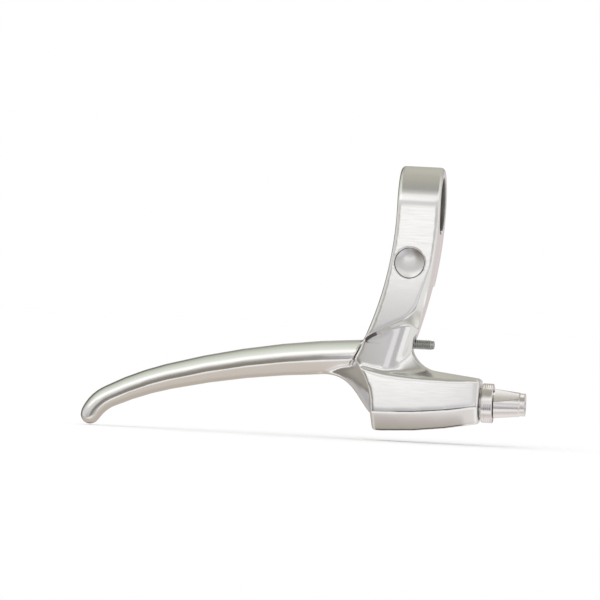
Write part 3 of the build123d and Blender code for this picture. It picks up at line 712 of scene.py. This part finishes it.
def makeCards():
    for name, card in cards.items():
        deselect()
        turn = [math.radians(degrees) for degrees in card["turn"]]
        bpy.ops.mesh.primitive_plane_add(size=1, location=card["place"], rotation=turn)
        plane = bpy.context.active_object
        plane.name = name
        plane.scale = (*card["size"], 1)
        material, tree = newMaterial(name)
        place = addNode(tree, "ShaderNodeTexCoord").outputs["Object"]
        along = addNode(tree, "ShaderNodeSeparateXYZ", None, {"Vector": place}).outputs["Y"]
        # the plane runs from -0.5 to 0.5, the colours from 0 to 1
        share = addNode(tree, "ShaderNodeMath", {"operation": "ADD", 1: 0.5}, {0: along}).outputs["Value"]
        tones = addNode(tree, "ShaderNodeValToRGB", None, {"Fac": share})
        setRamp(tones, card["stops"])
        shader = addNode(tree, "ShaderNodeEmission", {"Strength": card["strength"]},
                         {"Color": tones.outputs["Color"]})
        addNode(tree, "ShaderNodeOutputMaterial", None, {"Surface": shader.outputs["Emission"]})
        plane.data.materials.append(material)
        plane.visible_camera = False
        plane.visible_diffuse = False
        plane.visible_shadow = False
        plane.visible_transmission = False


# Tent: what a mirror shows at each height above the horizon, in degrees, in front and behind
tentFront = [(-90, "#D2C9C4"), (-68, "#DCD4D1"), (-60, "#FFFFFF"), (-44, "#FFFFFF"), (-37, "#A9A7AA"),
             (-24, "#C2C0C3"), (-7, "#C8C7C9"), (-2, "#DEDDDE"), (9, "#DADADB"), (15, "#FFFFFF"),
             (27, "#FFFFFF"), (36, "#C8C7C3"), (47, "#A6A5A0"), (62, "#ACABA3"), (90, "#B8B7AC")]
tentBack = [(-90, "#FFFFFF"), (-40, "#F2EDEC"), (-20, "#D8CECD"), (0, "#D8CFD0"), (6, "#B4B2AA"),
            (28, "#BEBCB3"), (50, "#C8C6BC"), (75, "#C2C0B6"), (90, "#B8B7AC")]
tentSeam = 0.35  # how far front and back run into each other
# and at its sides, by how far it looks across and behind: the last is for the thin dark left edges
tentSides = [{"across": (-0.6, -0.95), "behind": (-2.0, -1.0), "colour": "#DEDDDB"},
             {"across": (0.5, 0.9), "behind": (-0.3, -0.12), "colour": "#EDEDEB"},
             {"across": (-0.1, -0.35), "behind": (0.13, 0.5), "colour": "#6E6C69"}]


def makeWorld():
    world = bpy.data.worlds.new("white_tent")
    bpy.context.scene.world = world
    world.use_nodes = True
    tree = world.node_tree
    tree.nodes.clear()
    way = addNode(tree, "ShaderNodeTexCoord").outputs["Object"]
    unit = addNode(tree, "ShaderNodeVectorMath", {"operation": "NORMALIZE"}, {0: way}).outputs["Vector"]
    parts = addNode(tree, "ShaderNodeSeparateXYZ", None, {"Vector": unit}).outputs
    angle = addNode(tree, "ShaderNodeMath", {"operation": "ARCSINE"}, {0: parts["Z"]}).outputs["Value"]
    height = addNode(tree, "ShaderNodeMapRange", {"From Min": -math.pi / 2, "From Max": math.pi / 2},
                     {"Value": angle}).outputs["Result"]
    colours = []
    for stops in (tentFront, tentBack):
        tones = addNode(tree, "ShaderNodeValToRGB", None, {"Fac": height})
        setRamp(tones, [((degrees + 90) / 180, colour) for degrees, colour in stops])
        colours.append(tones.outputs["Color"])
    behind = addNode(tree, "ShaderNodeMapRange", {"From Min": -tentSeam, "From Max": tentSeam},
                     {"Value": parts["Y"]})
    tent = addNode(tree, "ShaderNodeMix", {"data_type": "RGBA"},
                   {"Factor": behind.outputs["Result"], 6: colours[0], 7: colours[1]})
    for side in tentSides:
        shares = []
        for axis, (low, high) in (("X", side["across"]), ("Y", side["behind"])):
            shares.append(addNode(tree, "ShaderNodeMapRange", {"From Min": low, "From Max": high},
                                  {"Value": parts[axis]}).outputs["Result"])
        share = addNode(tree, "ShaderNodeMath", {"operation": "MULTIPLY"}, {0: shares[0], 1: shares[1]})
        tent = addNode(tree, "ShaderNodeMix", {"data_type": "RGBA", 7: hexColour(side["colour"])},
                       {"Factor": share.outputs["Value"], 6: tent.outputs[2]})
    mirror = addNode(tree, "ShaderNodeBackground", {"Strength": 1.0}, {"Color": tent.outputs[2]})
    white = addNode(tree, "ShaderNodeBackground", {"Color": (1, 1, 1, 1), "Strength": 1.0})
    path = addNode(tree, "ShaderNodeLightPath")
    mix = addNode(tree, "ShaderNodeMixShader", None,
                  {0: path.outputs["Is Glossy Ray"], 1: white.outputs[0], 2: mirror.outputs[0]})
    addNode(tree, "ShaderNodeOutputWorld", None, {"Surface": mix.outputs[0]})


def makeLamp():
    deselect()
    bpy.ops.object.light_add(type="AREA", location=studio["lampPlace"])
    lamp = bpy.context.active_object
    lamp.name = "soft_lamp"
    lamp.data.size = studio["lampSize"]
    lamp.data.energy = studio["lampWatts"]
    lamp.visible_glossy = False  # the tent is what the metal shows; the lamp throws the shadow
    aim = Vector(studio["lampAim"]) - lamp.location
    lamp.rotation_euler = aim.to_track_quat("-Z", "Y").to_euler()


# Camera: turned a little to the right of the part's front, and rolled a little
view = {"yaw": 6.3, "roll": 3.0, "pixelsPerMm": 2.5, "originPixel": (422, 205), "imagePixels": 600,
        "distance": 3.0, "sensorMm": 36.0, "clipEnd": 40}


def makeCamera():
    yaw = math.radians(view["yaw"])
    roll = math.radians(view["roll"])
    flatRight = Vector((math.cos(yaw), math.sin(yaw), 0))
    back = Vector((math.sin(yaw), -math.cos(yaw), 0))
    up = Vector((0, 0, 1))
    right = flatRight * math.cos(roll) + up * math.sin(roll)
    top = up * math.cos(roll) - flatRight * math.sin(roll)
    half = view["imagePixels"] / 2
    acrossMm = (half - view["originPixel"][0]) / view["pixelsPerMm"]
    upMm = (view["originPixel"][1] - half) / view["pixelsPerMm"]
    place = right * acrossMm * mm + top * upMm * mm + back * view["distance"]
    data = bpy.data.cameras.new("camera")
    camera = bpy.data.objects.new("camera", data)
    bpy.context.scene.collection.objects.link(camera)
    turn = Matrix((right, top, back)).transposed().to_4x4()
    camera.matrix_world = Matrix.Translation(place) @ turn
    width = view["imagePixels"] / view["pixelsPerMm"] * mm
    data.sensor_width = view["sensorMm"]
    data.lens = view["sensorMm"] * view["distance"] / width
    data.clip_end = view["clipEnd"]
    bpy.context.scene.camera = camera


makeFloor()
makeCards()
makeWorld()
makeLamp()
makeCamera()
print("studio set")
